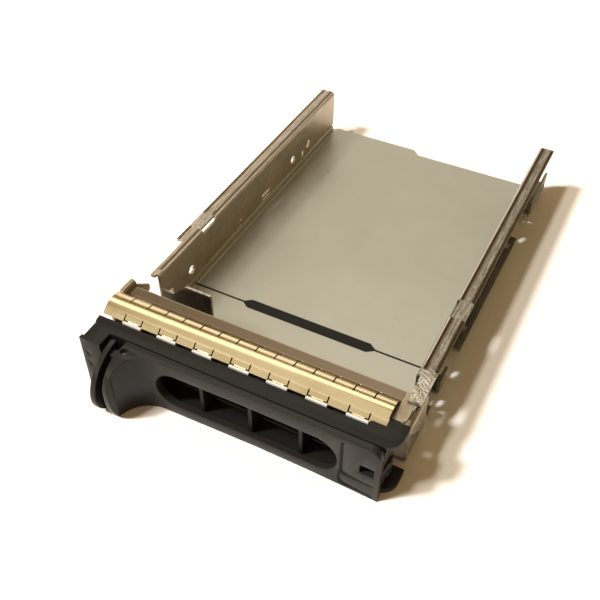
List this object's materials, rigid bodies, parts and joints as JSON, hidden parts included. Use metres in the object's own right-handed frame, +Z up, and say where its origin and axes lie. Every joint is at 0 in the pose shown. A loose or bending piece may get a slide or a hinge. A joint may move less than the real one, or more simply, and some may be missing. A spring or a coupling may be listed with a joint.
{
  "type": "hot swap drive caddy",
  "caption": "Hot swap carrier for a 3.5 inch drive: folded steel tray and rails, gold spring gasket, charcoal plastic bezel with swinging handle and squeeze latch.",
  "frame": {"origin": "middle of the tray floor's underside: mid width, and half way along the floor", "axes": "X right as seen from the handle, Y toward the connector end, Z up"},
  "size_m": [0.1166, 0.2044, 0.0268],
  "materials": {
    "galvanised_steel": "satin galvanised sheet",
    "tray_steel": "satin zinc-plated sheet",
    "gasket_spring": "pale gold plated spring strip",
    "charcoal_plastic": "fine matte texture",
    "pin_steel": "ground",
    "spring_steel": "drawn wire",
    "clear_plastic": "clear moulded",
    "screw_steel": "zinc plated"
  },
  "bodies": {
    "carrier": {"floor_tray": "tray_steel", "left_rail": "galvanised_steel", "right_rail": "galvanised_steel", "left_rail_rivets": "screw_steel", "right_rail_rivets": "screw_steel", "front_frame": "galvanised_steel", "frame_rivets": "screw_steel", "spring_gasket": "gasket_spring", "bezel_body": "charcoal_plastic", "bezel_screws": "screw_steel", "handle_spring": "spring_steel", "status_light_pipe": "clear_plastic", "activity_light_pipe": "clear_plastic", "light_pipe_clips": "charcoal_plastic"},
    "handle": {"handle_lever": "charcoal_plastic", "upper_hinge_pin": "pin_steel", "lower_hinge_pin": "pin_steel", "latch_pin": "pin_steel", "latch_spring": "spring_steel"},
    "latch": {"release_latch": "charcoal_plastic"}
  },
  "joints": [
    {"name": "handle_swing", "type": "hinge", "parent": "carrier", "child": "handle", "pos_m": [0.0522, -0.0898, 0.0125], "axis": [0, 0, 1], "range_deg": [0, 60]},
    {"name": "latch_squeeze", "type": "hinge", "parent": "handle", "child": "latch", "pos_m": [-0.0389, -0.1004, 0.0125], "axis": [0, 0, 1], "range_deg": [0, 12], "stiffness_Nm_per_rad": 0.02, "springref_deg": -11.46}
  ]
}
